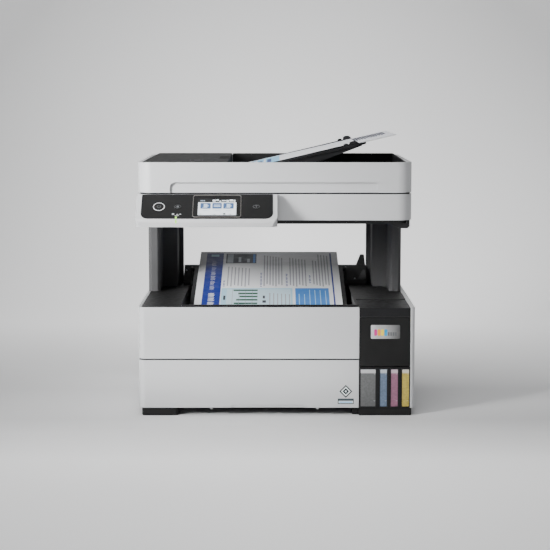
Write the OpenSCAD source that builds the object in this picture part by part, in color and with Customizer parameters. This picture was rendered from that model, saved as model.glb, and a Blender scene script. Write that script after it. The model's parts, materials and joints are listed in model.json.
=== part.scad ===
// Ink-tank multifunction printer: base with paper cassette and ink tanks, two rear columns,
// flatbed scanner, document feeder and tilting control panel.
// Millimetres. X runs to the right, Y to the back, Z up. Depths are counted from the front face.

/* [Body] */
// left face of the base
body_left = -186; // [-220:1:-160]
// right face of the base
body_right = 189; // [160:1:220]
// depth of the base behind its front face
body_depth = 302; // [290:1:340]
// height of the top deck
deck_z = 148.4; // [130:0.1:170]
// height of the body's lower edge above the table
lift = 10.7; // [5:0.1:15]
// radius of the body's front corners
body_corner = 10; // [6:0.5:16]
// thickness of the outer covers
skin = 2.5; // [2:0.1:3.5]

/* [Cassette] */
// top edge of the cassette's front
cassette_top = 76.2; // [70:0.1:85]
// seam between the cassette's front and the front cover
seam = 1.9; // [0.8:0.1:3]
// how far the cassette's side walls reach up
cassette_wall = 58; // [40:1:60]

/* [Paper] */
// paper width across the feed
paper_w = 210; // [148:1:216]
// paper length along the feed
paper_l = 297; // [210:1:297]
// centre line of the paper path
paper_x = -10; // [-20:1:0]
// slope of the paper in the output tray
output_slope = 12.35; // [8:0.05:16]

/* [Ink tanks] */
// left face of the tank unit
ink_left = 113.7; // [105:0.1:125]
// right face of the tank unit
ink_right = 182.7; // [170:0.1:186]
// depth of the tank unit
ink_depth = 92; // [80:1:110]
// top of the tank windows
window_top = 64; // [55:1:70]

/* [Scanner] */
// left face of the scanner
scan_left = -185.2; // [-200:0.1:-170]
// right face of the scanner
scan_right = 183.9; // [170:0.1:200]
// underside of the scanner's white shell
scan_z = 266.2; // [240:0.1:290]
// glass level
glass_z = 301.3; // [280:0.1:320]
// top rim of the lid
lid_top = 344; // [330:0.1:360]
// depth of the scanner
scan_depth = 288; // [270:1:300]
// radius of the scanner's front corners
scan_corner = 20; // [12:1:26]

/* [Document feeder] */
// slope of the document tray
adf_slope = 12.9; // [8:0.1:20]
// edge of the feeder's cover
adf_edge = -65; // [-90:1:-40]

/* [Control panel] */
// tilt of the panel's face from level
panel_tilt = 39.3; // [20:0.1:60]
// length of the face down the slope
panel_len = 48.2; // [40:0.1:60]
// right end of the panel
panel_right = 2.5; // [-10:0.5:20]

/* [Hidden] */
$fn = 48;
front_y = -144.6;           // the front face in the row's frame
centre_x = -1.5;            // brings the middle of the whole width to X = 0
run = 0.06;                 // running clearance of pins
white = [0.86, 0.86, 0.87];
black = [0.05, 0.05, 0.055];
dark = [0.12, 0.12, 0.13];
metal = [0.62, 0.63, 0.65];
panel_y = -45.3;            // lower edge of the panel's face
panel_z = 271.3;
panel_left = -185;
panel_axis = [8, 286];      // tilt axis, depth and height
lid_axis = [294, 304.2];
tray_axis = [268, 170.6];
adf_axis = [-95, 318];
roller_axis = [-100, 329.7];
cover_axis = [-177.5, 342.4];
ink_axis = [2.4, 69.2];
cap_y = 40;
roll_z = 72;
feed_y = 212;
exit_y = 150;
pick = [268, 60];
belt_z = 90;
tank_wide = [115.2, 136.4];
tank_c = [141.7, 151.8];
tank_m = [156.5, 166.6];
tank_y = [171.6, 181.9];
sheet_z0 = 128;             // height of the printed sheet's near end
sheet_y0 = 44.5;

// ---- helpers ----
module place() translate([centre_x, front_y, 0]) children();
module box(x0, y0, z0, x1, y1, z1) translate([x0, y0, z0]) cube([x1 - x0, y1 - y0, z1 - z0]);
module rod_x(x0, x1, y, z, r) translate([x0, y, z]) rotate([0, 90, 0]) cylinder(h = x1 - x0, r = r);
module rod_y(y0, y1, x, z, r) translate([x, y1, z]) rotate([90, 0, 0]) cylinder(h = y1 - y0, r = r);
module rod_z(z0, z1, x, y, r) translate([x, y, z0]) cylinder(h = z1 - z0, r = r);
// a profile of depth and height, pulled along X
module side(x0, x1) translate([x0, 0, 0]) rotate([90, 0, 90]) linear_extrude(x1 - x0) children();
// a profile of width and height, pulled along Y
module face(y0, y1) translate([0, y1, 0]) rotate([90, 0, 0]) linear_extrude(y1 - y0) children();
// a plan, pulled up
module plan(z0, z1) translate([0, 0, z0]) linear_extrude(z1 - z0) children();
// rectangle with its own radius at each corner: near left, near right, far right, far left
module rect(x0, y0, x1, y1, a, b, c, d) difference() {
    translate([x0, y0]) square([x1 - x0, y1 - y0]);
    corner(x0, y0, 1, 1, a);
    corner(x1, y0, -1, 1, b);
    corner(x1, y1, -1, -1, c);
    corner(x0, y1, 1, -1, d);
}
module corner(x, y, sx, sy, r) if (r > 0) difference() {
    translate([x - (sx > 0 ? 1 : r), y - (sy > 0 ? 1 : r)]) square(r + 1);
    translate([x + sx * r, y + sy * r]) circle(r);
}
module slab(x0, y0, z0, x1, y1, z1, a, b) plan(z0, z1) rect(x0, y0, x1, y1, a, a, b, b);

// ---- base ----
module bottom_pan() color(dark) place() {
    box(-183.3, 14.4, lift, 112.8, 299.2, 13.2);
    box(-176, 5, lift, 112.8, 14.5, 13.2);
    box(112.8, 92.6, lift, 182.5, 299.2, 13.2);
    box(-183.3, 16, 13.2, -181.7, 299.2, 64);
    box(110.3, 5, 13.2, 112.8, 299.2, 64);
}

module rubber_feet() color(black) place() {
    for (y = [0.6, 268]) {
        slab(-181.8, y, 0.8, -132, y + 26, lift - 0.6, 5, 4);
        slab(-181.2, y + 0.6, 0, -132.6, y + 25.4, 0.8, 4.4, 3.4);
        slab(-176, y + 15, 5, -136, y + 25, lift - 0.1, 2, 2);
        slab(113.4, y, 0.8, 184.8, y + 26, lift - 0.1, 1, 4);
        slab(114, y + 0.6, 0, 184.2, y + 25.4, 0.8, 1, 3.4);
        slab(104.4, y + 5, 0.8, 116, y + 24, lift - 0.6, 1, 3);
    }
}

module left_side_cover() color(white) place() {
    difference() {
        plan(lift, deck_z) rect(body_left, 14.3, -182, body_depth, 0, 0, 0, 4);
        box(-184, 14, lift - 1, -181, 299.4, deck_z - 2.4);
        box(-184, 14, lift - 1, -181, 303, deck_z - 2.4);
    }
}

module right_side_cover() color(white) place() {
    difference() {
        plan(lift, deck_z) rect(182.9, 0, body_right, body_depth, 0, 5.5, 4, 0);
        box(182, 2.2, lift - 1, 186.8, 303, deck_z - 2.4);
    }
}

module rear_cover() color(dark) place() {
    difference() {
        union() {
            box(-183.6, 299.4, 64.4, 186.5, body_depth, 145.6);
            box(110.3, 299.4, lift, 186.5, body_depth, 64.5);
        }
        box(149.6, 298, 19.6, 178.4, 303, 42.4);
        for (i = [0 : 9]) box(118 + 6 * i, 298, 90, 120.5 + 6 * i, 303, 132);
        for (i = [0 : 9]) box(-170 + 6 * i, 298, 90, -167.5 + 6 * i, 303, 132);
    }
}

module front_cover() color(white) place() {
    difference() {
        plan(cassette_top + seam, deck_z)
            rect(body_left, 0, 113.4, 14, body_corner, 0, 0, 0);
        plan(cassette_top, deck_z + 1)
            rect(body_left + skin, skin, 114, 15, body_corner - skin, 0, 0, 0);
    }
    for (x = [-150 : 50 : 100]) box(x, skin, 80, x + 1.6, 8, 140);
}

module hump() polygon([[262, 148], [262, 156], [274, 166], [284, 175], [287, 176], [294, 176],
    [297.6, 172.5], [297.6, 148]]);
module hump_core() polygon([[264.5, 145], [264.5, 154.6], [285, 172.2], [287.5, 173.4],
    [293, 173.4], [295, 171.4], [295, 145]]);

module top_frame() color(black) place() {
    difference() {
        union() {
            box(-181.6, 3, 146, 113.1, 299, deck_z);
            box(113.1, ink_depth + 0.5, 146, 182.6, 299, deck_z);
            slab(-130.9, 10, 108, 111.4, 264, deck_z, 3, 3);
            side(-138, 137) hump();
            // rear guide fin
            face(288, 297.6) polygon([[110, 175], [122.6, 175], [129, 191.6], [134.6, 191.6],
                [137, 172], [137, 160], [110, 160]]);
            // lugs of the output tray
            for (x = [-127.6, 104.6]) side(x, x + 3) polygon([[255, 148], [263, 172],
                [265, 175], [271, 175], [274, 172], [276, 148]]);
        }
        slab(-128.9, 12, 110, 109.4, 262, deck_z + 1, 2, 2);
        side(-135.5, 134.5) hump_core();
        // slot of the rear feed, behind its flap
        box(-118, 294, 151, 98, 299, 170);
        rod_x(-129, 109, tray_axis[0], tray_axis[1], 2.5 + run);
    }
}

module column_plan() difference() {
    polygon([[-184.7, 184], [-180.7, 180], [-171.6, 180], [-167.6, 184], [-167.6, 240],
        [-145.9, 243], [-145.9, 285], [-139.5, 286], [-139.5, 298], [-184.7, 298]]);
    polygon([[-182.2, 186], [-170.1, 186], [-170.1, 242.2], [-148.4, 245.2], [-148.4, 287.3],
        [-142.2, 288], [-142.2, 295.5], [-182.2, 295.5]]);
}

module columns() color(black) place() {
    plan(deck_z + 0.1, 259.8) column_plan();
    plan(deck_z + 0.1, 259.8) translate([-1.8, 0]) mirror([1, 0]) column_plan();
}

module main_frame() color(metal) place() {
    difference() {
        union() {
            box(-178, 60, 65.8, 108, 290, 67);
            box(-176.2, 231, 67, 105.2, 232.2, 107.4);
            box(-177.4, 90, 67, -176.2, 285, 107.4);
            box(105.2, 90, 67, 106.4, 285, 107.4);
            // pickup roller brackets
            for (x = [-38.5, 15.5]) side(x, x + 3) rect(261, 53, 275, 66, 4, 4, 0, 0);
            rod_y(222, 231, -165, belt_z, 6);
        }
        box(-34, 256, 60, 14, 280, 70);
        for (x = [-179, 104]) {
            rod_x(x, x + 4, feed_y, roll_z, 2.5 + run);
            rod_x(x, x + 4, exit_y, roll_z, 2.5 + run);
        }
        rod_x(-40, 20, pick[0], pick[1], 2.5 + run);
        rod_y(230, 233, 95, belt_z, 4);
    }
}

module carriage_shaft() color(metal) place() rod_x(-176.1, 105.1, 190, 92, 4);

module loop(r) {
    translate([-165, belt_z]) circle(r);
    translate([95, belt_z]) circle(r);
    translate([-165, belt_z - r]) square([260, 2 * r]);
}
module carriage_belt() color(black) place() face(222.5, 227) difference() { loop(7.6); loop(6.4); }

module motors() color(metal) place() {
    difference() {
        rod_y(232.4, 262, 95, belt_z, 10);
        rod_y(232, 242, 95, belt_z, 2 + run);
    }
    rod_x(-170, -140, 256, 90, 14);
    box(-174, 240, 74, -170, 272, 106);
}

module platen() color(black) place() {
    box(-150, 157, 67.1, 95, 205, 69);
    for (x = [-146 : 12 : 94]) box(x, 160, 69, x + 1, 202, 69.8);
}

module power_supply() color(dark) place() {
    difference() {
        box(116, 120, 13.4, 180, 283, 62);
        for (y = [130 : 10 : 270]) box(115, y, 24, 117, y + 5, 52);
    }
    box(116, 112, 70, 180, 290, 71.6);
    box(130, 150, 71.6, 158, 178, 75);
    box(126, 210, 71.6, 146, 240, 79);
    for (x = [120, 174]) for (y = [116, 284]) rod_z(13.3, 70, x, y, 2);
}

module ac_inlet() color(black) place() {
    difference() {
        box(150, 286, 20, 178, 302, 42);
        face(290, 303) rect(155, 25, 173, 37, 6, 6, 6, 6);
    }
    rod_y(289, 299, 160, 31, 1.3);
    rod_y(289, 299, 168, 31, 1.3);
}

// ---- ink tanks ----
module bay(t) box(t[0] - 0.3, -1, 11.6, t[1] + 0.3, 88.6, window_top + 0.3);
module neck_hole(t) rod_z(63, 68, (t[0] + t[1]) / 2, cap_y, 5);

module tank_frame() color(black) place() {
    difference() {
        plan(lift, 147.4) square_plan();
        for (t = [tank_wide, tank_c, tank_m, tank_y]) {
            bay(t);
            neck_hole(t);
            box((t[0] + t[1]) / 2 - 3.4, cap_y + 6, 63, (t[0] + t[1]) / 2 + 3.4, cap_y + 13, 68);
        }
        box(ink_left + 2.8, -1, 66.5, ink_right - 1, 89.4, 134.9);
        box(ink_left - 1, -1, 66.5, ink_right + 1, 5.2, 134.9);
        box(ink_left + 2.8, 2.8, 137.4, ink_right - 2.8, 93, 144.8);
    }
    for (x = [127, 163]) difference() {
        union() {
            rod_x(x, x + 6, ink_axis[0], ink_axis[1], 1.8);
            box(x, ink_axis[0], 68.4, x + 6, 7.6, 70);
            box(x, 5.3, 66, x + 6, 7.6, 70);
        }
        rod_x(x - 1, x + 7, ink_axis[0], ink_axis[1], 1.2 + run);
    }
}
module square_plan() translate([ink_left, 0]) square([ink_right - ink_left, ink_depth]);

module tank(t) {
    xc = (t[0] + t[1]) / 2;
    difference() {
        union() {
            box(t[0], 0.4, 11.9, t[1], 88, window_top);
            rod_z(window_top - 1, 73, xc, cap_y, 4);
        }
        box(t[0] + 1.5, 2, 13.4, t[1] - 1.5, 86.5, window_top - 1.5);
        rod_z(60, 74, xc, cap_y, 2.8);
    }
    for (x = [xc - 3, xc + 1.8]) side(x, x + 1.2) rect(cap_y + 7, 63, cap_y + 12, 78, 0, 0, 2, 2);
    rod_x(xc - 3, xc + 3, cap_y + 9.5, 75.5, 1.2);
}
module tank_black() color([0.1, 0.1, 0.11]) place() tank(tank_wide);
module tank_cyan() color([0.35, 0.5, 0.6]) place() tank(tank_c);
module tank_magenta() color([0.65, 0.45, 0.5]) place() tank(tank_m);
module tank_yellow() color([0.8, 0.7, 0.4]) place() tank(tank_y);

module ink_cap(t) {
    xc = (t[0] + t[1]) / 2;
    rod_z(73.4, 78, xc, cap_y, 4.6);
    box(xc - 2.5, cap_y - 9, 75.5, xc + 2.5, cap_y, 78);
    difference() {
        union() {
            box(xc - 1.4, cap_y + 4, 74.6, xc + 1.4, cap_y + 9.5, 77.6);
            rod_x(xc - 1.4, xc + 1.4, cap_y + 9.5, 75.5, 2.3);
        }
        rod_x(xc - 3, xc + 3, cap_y + 9.5, 75.5, 1.2 + run);
    }
}
module cap_black() color([0.1, 0.1, 0.1]) place() ink_cap(tank_wide);
module cap_cyan() color([0, 0.5, 0.7]) place() ink_cap(tank_c);
module cap_magenta() color([0.75, 0.1, 0.4]) place() ink_cap(tank_m);
module cap_yellow() color([0.9, 0.75, 0.1]) place() ink_cap(tank_y);

module ink_cover() color(black) place() {
    difference() {
        union() {
            box(ink_left + 0.3, 0, ink_axis[1], ink_right - 0.3, 3, 134.6);
            rod_x(ink_left + 0.3, ink_right - 0.3, ink_axis[0], ink_axis[1], 2.4);
            box(118, 3, 124, 178, 4.6, 126);
            box(118, 3, 80, 120, 4.6, 124);
            box(176, 3, 80, 178, 4.6, 124);
        }
        for (x = [126.6, 162.6]) {
            box(x, 0.45, 66, x + 6.8, 6, 73.2);
            box(x, -1, 66, x + 6.8, 6, 68);
        }
    }
    rod_x(125, 171, ink_axis[0], ink_axis[1], 1.2);
}

// ---- cassette ----
module cassette_tray() color(dark) place() difference() {
    union() {
        box(-180.4, 8, 13.6, 107.6, 301.6, 15.4);
        box(-175.5, 2.3, 13.6, 107.6, 8, 15.4);
        box(-180.4, 8, 15, -178.4, 301.6, cassette_wall);
        box(105.6, 2.3, 15, 107.6, 301.6, cassette_wall);
        box(-175.5, 2.3, 15, 107.6, 3.6, cassette_wall);
        box(-175.5, 2.3, 15, -174.2, 9.3, cassette_wall);
        box(-180.4, 8, 15, -174.2, 9.3, cassette_wall);
        for (x = [-150, 100]) box(x, 297, 15, x + 4, 301.6, 24);
    }
    box(-33, 2, 16, 13, 4, 60);
}

module cassette_front() color(white) place() {
    difference() {
        plan(lift, cassette_top) rect(body_left, 0, 113.4, 14, body_corner, 0, 0, 0);
        plan(lift - 1, cassette_top - 2.2)
            rect(body_left + 2.2, 2.2, 114, 15, body_corner - 2.2, 0, 0, 0);
        box(body_left + 6, 6, cassette_top - 3, 114, 15, cassette_top + 1);
        face(-1, 1.4) rect(-60, 6, 40, 14.4, 0, 0, 3, 3);
    }
}

module side_guide(x, out) {
    box(min(x, x + out * 2.2), 60, 15.8, max(x, x + out * 2.2), 200, 48);
    box(min(x, x + out * 7), 110, 15.8, max(x, x + out * 7), 150, 17.4);
    for (y = [75, 128, 184]) box(min(x, x + out * 6), y, 15.8, max(x, x + out * 6), y + 1.6, 30);
}
module cassette_left_guide() color(dark) place() side_guide(paper_x - paper_w / 2 - 0.4, -1);
module cassette_right_guide() color(dark) place() side_guide(paper_x + paper_w / 2 + 0.4, 1);
module cassette_end_guide() color(dark) place() {
    box(-31, 2.6, 16, 11, 3.9, 46);
    box(-18, 3.6, 15.8, -2, 26, 17.2);
}

// ---- mechanism ----
module carriage() color(dark) place() difference() {
    union() {
        box(28, 160, 79, 92, 219.6, 84);
        box(28, 160, 84, 31, 219.6, 105);
        box(89, 160, 84, 92, 219.6, 105);
        box(28, 180, 84, 92, 202, 102);
        box(28, 160, 84, 92, 163, 98);
        for (i = [1 : 3]) box(28 + 16 * i, 163, 84, 29.6 + 16 * i, 180, 96);
    }
    rod_x(20, 100, 190, 92, 4 + run);
}
module print_head() color(black) place() {
    box(38, 164, 72.4, 82, 203, 78.9);
    for (i = [0 : 3]) box(42 + 10 * i, 168, 71.4, 46 + 10 * i, 198, 72.4);
}
module drive_pulley() color(metal) place() {
    rod_y(221.6, 228, 95, belt_z, 6);
    rod_y(228, 241, 95, belt_z, 2);
    rod_y(220.9, 221.7, 95, belt_z, 7.4);
}
module roller(y, r) {
    rod_x(-179, 107.6, y, roll_z, 2.5);
    for (x = [-140 : 44 : 60]) rod_x(x, x + 26, y, roll_z, r);
    box(-179.4, y - 1.2, roll_z - 3.6, -178.2, y + 1.2, roll_z + 3.6);
}
module feed_roller() color(dark) place() roller(feed_y, 4.5);
module exit_roller() color(dark) place() roller(exit_y, 4);
module pickup_roller() color(black) place() {
    rod_x(-39.5, 19.5, pick[0], pick[1], 2.5);
    for (x = [-31, -5]) rod_x(x, x + 16, pick[0], pick[1], 9);
}

// ---- paper output ----
module on_output() translate([paper_x, sheet_y0, sheet_z0]) rotate([output_slope, 0, 0]) children();
module output_tray() color(black) place() {
    on_output() {
        translate([0, 0, -3.4]) linear_extrude(2.8) difference() {
            rect(-111, 6, 111, 227, 14, 14, 0, 0);
            rect(-20, 4, 20, 26, 0, 0, 6, 6);
        }
        for (x = [-90, -30, 30, 90]) box(x, 12, -5.6, x + 2, 218, -3.2);
    }
    rod_x(-127.4, 107.4, tray_axis[0], tray_axis[1], 2.5);
    for (x = [-118, -60, 0, 40, 94]) side(x, x + 3) polygon([[252, 169], [tray_axis[0], 168.4],
        [tray_axis[0] + 1.4, 172.6], [262, 172.6]]);
}
module printed_sheet() color([0.92, 0.93, 0.95]) place()
    on_output() translate([-paper_w / 2, 0, -0.3]) cube([paper_w, paper_l, 0.4]);

module rear_feed_cover() color(black) place() difference() {
    union() {
        box(-120, 298.6, 152, 100, 301.2, 173);
        rod_x(-120, 100, 300.5, 151.2, 1.7);
        for (x = [-40, 20]) box(x, 301, 168, x + 14, 302, 171);
    }
    for (x = [-90, 66]) box(x, 290, 149, x + 8, 303, 154.4);
}

// ---- scanner ----
module scanner_base() color(white) place() {
    difference() {
        slab(scan_left, 0, scan_z, scan_right, scan_depth, glass_z, scan_corner, 5);
        slab(scan_left + 3, 3, scan_z - 1, scan_right - 3, scan_depth - 3, glass_z - 2.8,
            scan_corner - 3, 3);
        // recess behind the control panel
        box(-190, -1, scan_z - 1, panel_right + 0.8, 16, 296.4);
        box(-150, 40, 290, 147, 254, 303);
        box(-154.2, 35.8, glass_z - 1.8, 151.2, 258.2, 303);
        box(-172, 40, 290, -162, 254, 303);
        box(-173.2, 38.8, glass_z - 1.8, -160.8, 255.2, 303);
    }
    box(scan_left + 1, 16, scan_z, panel_right + 3.8, 18.8, 298);
    box(panel_right + 0.8, 1, scan_z, panel_right + 3.6, 18, 298);
    box(scan_left + 2, 16, 293.6, panel_right + 2, 17, 298.6);
    // panel pivots
    for (x = [-150, -45]) {
        for (s = [-3.4, 8.4]) side(x + s, x + s + 3) rect(3.6, 281, 16.4, 291, 4, 0, 0, 4);
        rod_x(x - 2, x + 10, panel_axis[0], panel_axis[1], 2.5);
    }
}

module scanner_pan() color(black) place() {
    difference() {
        slab(-181, 20, 260, 179.6, 285, 266.1, 12, 3);
        slab(-178.5, 22.5, 262.5, 177, 282.5, 267, 10, 2);
    }
    face(20, 179.6) polygon([[155, 260.5], [166, 255.4], [171, 253.8], [179, 253.8],
        [182, 256.4], [182, 266], [177.5, 266], [177.5, 261]]);
    rod_x(-174, 176, 148, 272.5, 3);
    for (x = [-176, 174]) box(x, 142, 262, x + 3, 154, 277);
}

module scanner_glass() color([0.7, 0.8, 0.82, 0.5]) place() {
    box(-154, 36, glass_z - 1.8, 151, 258, glass_z - 0.1);
    box(-173, 39, glass_z - 1.8, -161, 255, glass_z - 0.1);
}

module lid_hinges() color(dark) place() for (x = [-130, 110]) {
    box(x - 4, scan_depth + 0.1, 272, x + 24, scan_depth + 2.4, 299);
    for (s = [-3.5, 20.5]) difference() {
        side(x + s, x + s + 3) union() {
            polygon([[288.1, 280], [290, 280], [299, 300], [299, lid_axis[1]],
                [289, lid_axis[1]], [288.1, 300]]);
            translate(lid_axis) circle(5);
        }
        box(x - 10, 280, 301, x + 30, 288.1, 312);
    }
    rod_x(x - 3.5, x + 23.5, lid_axis[0], lid_axis[1], 2.5);
}

module cis_bar() color(dark) place() difference() {
    union() {
        box(-150, 42, 278, -132, 254, 296);
        box(-150, 136, 267, -132, 160, 279);
    }
    box(-143, 46, 293, -139, 250, 297);
    rod_x(-160, -120, 148, 272.5, 3 + run);
}

// ---- lid and document feeder ----
module lid_shell() color(white) place() {
    difference() {
        slab(scan_left, 0, glass_z + 2, scan_right, scan_depth, lid_top, scan_corner, 5);
        slab(-179.9, 5, glass_z + 4.8, 177.3, 283, lid_top + 1, scan_corner - 5, 2);
        face(-1, 3.4) rect(-141.6, 300, 138, 317.2, 0, 0, 7, 7);
        rod_y(8.6, 14, cover_axis[0], cover_axis[1], 1 + 0.05);
        rod_y(282, 285.4, cover_axis[0], cover_axis[1], 1 + 0.05);
    }
    for (x = [-130, 110]) difference() {
        side(x, x + 20) union() {
            translate(lid_axis) circle(5);
            polygon([[287, 304.2], [lid_axis[0], 304.2], [lid_axis[0] + 1, 309.1], [287, 314]]);
        }
        rod_x(x - 1, x + 21, lid_axis[0], lid_axis[1], 2.5 + run);
        box(x - 1, 280, 295, x + 21, 287.9, 320);
    }
}

module adf_well() color(black) place() {
    difference() {
        intersection() {
            slab(-179.7, 5.2, glass_z + 5, 177.1, 282.8, 350, scan_corner - 5, 2);
            side(-181, 179) polygon([[0, 300], [290, 300], [290, 346.1], [0, 343.2]]);
        }
        slab(-177.7, 7.2, 307.6, 175.1, 280.8, 350, scan_corner - 7, 1);
        box(-181, 4, 321, adf_edge + 1, 284, 350);
    }
    face(30, 270) polygon([[-175, 307], [-175, 332], [-150, 332], [-142, 309], [-142, 307]]);
    face(46, 254) polygon([[-138, 307], [-138, 309.4], [-102, 317.6], [-102, 307]]);
    for (y = [20, 270]) difference() {
        box(-106, y, 307, -94, y + 3, 334);
        rod_y(y - 1, y + 4, roller_axis[0], roller_axis[1], 2.5 + run);
    }
    for (y = [31.4, 264.9]) difference() {
        box(-99.5, y, 307, -90.5, y + 3.7, 322.4);
        rod_y(y - 1, y + 5, adf_axis[0], adf_axis[1], 1.5 + run);
    }
}

module document_mat() color([0.9, 0.9, 0.9]) place()
    slab(-155, 34, glass_z + 0.4, 152, 260, glass_z + 2, 3, 3);

module adf_roller() color(dark) place() {
    rod_y(19, 274, roller_axis[0], roller_axis[1], 2.5);
    for (y = [96, 138, 180]) rod_y(y, y + 24, roller_axis[0], roller_axis[1], 7.8);
}

module adf_cover() color(black) place() {
    intersection() {
        plan(342.2, 347) rect(-179, 5.6, adf_edge, 282.4, 20, 1, 1, 1);
        side(-180, -60) polygon([[0, 340], [290, 340], [290, 346.3], [0, 343.5]]);
        face(0, 290) polygon([[-179, 340], [adf_edge, 340], [adf_edge, 348], [-172, 348],
            [-179, 343.3]]);
    }
    box(adf_edge - 2.6, 20, 332, adf_edge, 268, 342.4);
    box(-170, 8, 326, adf_edge - 1, 10.6, 342.4);
    box(-170, 277.4, 326, adf_edge - 1, 280, 342.4);
    for (x = [-160 : 18 : -80]) box(x, 34, 339, x + 1.6, 266, 342.4);
    rod_y(9, 30, cover_axis[0], cover_axis[1], 1);
    rod_y(276, 285, cover_axis[0], cover_axis[1], 1);
}

module on_adf() translate([adf_axis[0], 0, adf_axis[1]]) rotate([0, -adf_slope, 0]) children();
module adf_tray() color(black) place() {
    on_adf() {
        translate([0, 0, -0.7]) linear_extrude(2.5) rect(0, 36, 225, 264, 0, 18, 18, 0);
        for (y = [38, 148.5, 258]) face(y, y + 3) polygon([[10, -0.5], [10, -4], [40, -9],
            [164, -9], [218, -1.6], [218, -0.5]]);
        rod_y(36, 264, 0, 0, 1.8);
        rod_y(31.6, 268.4, 0, 0, 1.5);
    }
}

// low ramp, a small bump and a larger one, h above the sheets
module doc_guide(h) polygon([[62, 2.1], [62, 3.2], [150, 4.0], [193, 4.2], [194, 4.2 + 0.35 * h],
    [195.6, 4 + 0.55 * h], [198, 4 + 0.55 * h], [199.6, 4.2 + 0.3 * h], [200.2, 4.2],
    [201.6, 4.2], [202.2, 3.6 + 0.7 * h], [203.6, 3.4 + h], [206.5, 3.6 + h + 0.2],
    [210.5, 3.3 + h], [213, 3 + 0.6 * h], [215, 2.1]]);
module adf_front_guide() color(black) place() on_adf() face(41.4, 44.6) doc_guide(3.4);
module adf_rear_guide() color(black) place() on_adf() face(255.4, 258.6) doc_guide(5);
module document_sheets() color([0.93, 0.94, 0.95]) place()
    on_adf() box(-29.9, 45, 2.1, 267.1, 255, 2.9);

// ---- control panel ----
module on_panel() translate([0, panel_y, panel_z]) rotate([panel_tilt, 0, 0]) children();
module face_plan(g, top) rect(panel_left + 7 - g, 0.8 - g, panel_right - 5.6 + g, top,
    10, 11, 1, 1);

module panel_shell() color(white) place() {
    difference() {
        intersection() {
            side(panel_left, panel_right) polygon([[-8, 301.8], [panel_y, panel_z],
                [-45.6, 267], [-43, 260.6], [-32, 260.6], [-3, 287], [-1.6, 296], [-2.2, 300.8]]);
            on_panel() translate([0, 0, -40]) linear_extrude(50)
                rect(panel_left, -5.2, panel_right, panel_len + 4, 9, 11, 2, 2);
        }
        on_panel() {
            translate([0, 0, -2.2]) linear_extrude(5) face_plan(0.15, panel_len + 6);
            box(panel_left + 12, 6, -8.5, panel_right - 14, panel_len - 5, 1);
        }
    }
    for (x = [-150, -45]) difference() {
        side(x + 0.6, x + 7.4) union() {
            translate(panel_axis) circle(5.4);
            polygon([[-6, 284], [-4, 291.4], [8, 291.4], [8, 280.6]]);
        }
        rod_x(x - 3, x + 12, panel_axis[0], panel_axis[1], 2.5 + run);
    }
}

module key_hole(x, r) translate([x, 24]) circle(r);
module panel_face() color(black) place() on_panel() difference() {
    translate([0, 0, -2]) linear_extrude(2) face_plan(-0.1, panel_len - 0.4);
    translate([0, 0, -3]) linear_extrude(5) {
        key_hole(-154.6, 6.5);
        key_hole(-129.6, 5);
        key_hole(-25.3, 5);
        rect(-110.2, 3.2, -45, 46.8, 2.5, 2.5, 2.5, 2.5);
    }
}
module screen() color([0.3, 0.4, 0.5]) place() on_panel()
    translate([0, 0, -2.1]) linear_extrude(2.2) rect(-110, 3.4, -45.2, 46.6, 2.3, 2.3, 2.3, 2.3);
module key(x, r) on_panel() {
    translate([x, 24, -3]) cylinder(h = 3.3, r = r);
    translate([x, 24, -4.4]) cylinder(h = 1.8, r = r + 1.5);
}
module power_button() color(dark) place() key(-154.6, 6.2);
module home_button() color(dark) place() key(-129.6, 4.7);
module help_button() color(dark) place() key(-25.3, 4.7);

bottom_pan();
rubber_feet();
left_side_cover();
right_side_cover();
rear_cover();
front_cover();
top_frame();
columns();
main_frame();
carriage_shaft();
carriage_belt();
motors();
platen();
power_supply();
ac_inlet();
tank_frame();
tank_black();
tank_cyan();
tank_magenta();
tank_yellow();
scanner_base();
scanner_pan();
scanner_glass();
lid_hinges();
cassette_tray();
cassette_front();
cassette_left_guide();
cassette_right_guide();
cassette_end_guide();
ink_cover();
cap_black();
cap_cyan();
cap_magenta();
cap_yellow();
carriage();
print_head();
drive_pulley();
feed_roller();
exit_roller();
pickup_roller();
output_tray();
printed_sheet();
rear_feed_cover();
cis_bar();
lid_shell();
adf_well();
document_mat();
adf_roller();
adf_cover();
adf_tray();
adf_front_guide();
adf_rear_guide();
document_sheets();
panel_shell();
panel_face();
screen();
power_button();
home_button();
help_button();
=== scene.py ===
"""Looks of an ink-tank multifunction printer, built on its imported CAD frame.

Measures in this file are millimetres, with depth counted from the front face, and mm() turns them
into the frame's metres.
"""
import json
import math

import bmesh
import bpy
from mathutils import Matrix, Vector


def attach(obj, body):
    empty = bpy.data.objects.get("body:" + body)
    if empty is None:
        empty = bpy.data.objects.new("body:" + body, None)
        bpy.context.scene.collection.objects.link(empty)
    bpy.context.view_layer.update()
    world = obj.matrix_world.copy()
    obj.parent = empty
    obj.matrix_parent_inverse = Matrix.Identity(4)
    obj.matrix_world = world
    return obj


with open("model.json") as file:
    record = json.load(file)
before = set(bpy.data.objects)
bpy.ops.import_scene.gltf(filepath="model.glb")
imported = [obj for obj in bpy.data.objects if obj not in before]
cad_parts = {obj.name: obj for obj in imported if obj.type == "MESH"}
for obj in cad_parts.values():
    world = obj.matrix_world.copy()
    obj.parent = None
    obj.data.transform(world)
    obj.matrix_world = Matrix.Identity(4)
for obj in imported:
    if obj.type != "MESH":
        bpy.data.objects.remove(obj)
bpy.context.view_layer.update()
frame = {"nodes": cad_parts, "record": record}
nodes = frame["nodes"]

UNIT = 0.001
# where the front face and the body's centre line lie in the frame
FRONT_Y = -144.6
CENTRE_X = -1.5
# the body's left, right and back faces
BODY_LEFT, BODY_RIGHT, BODY_DEPTH = -186, 189, 302
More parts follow.
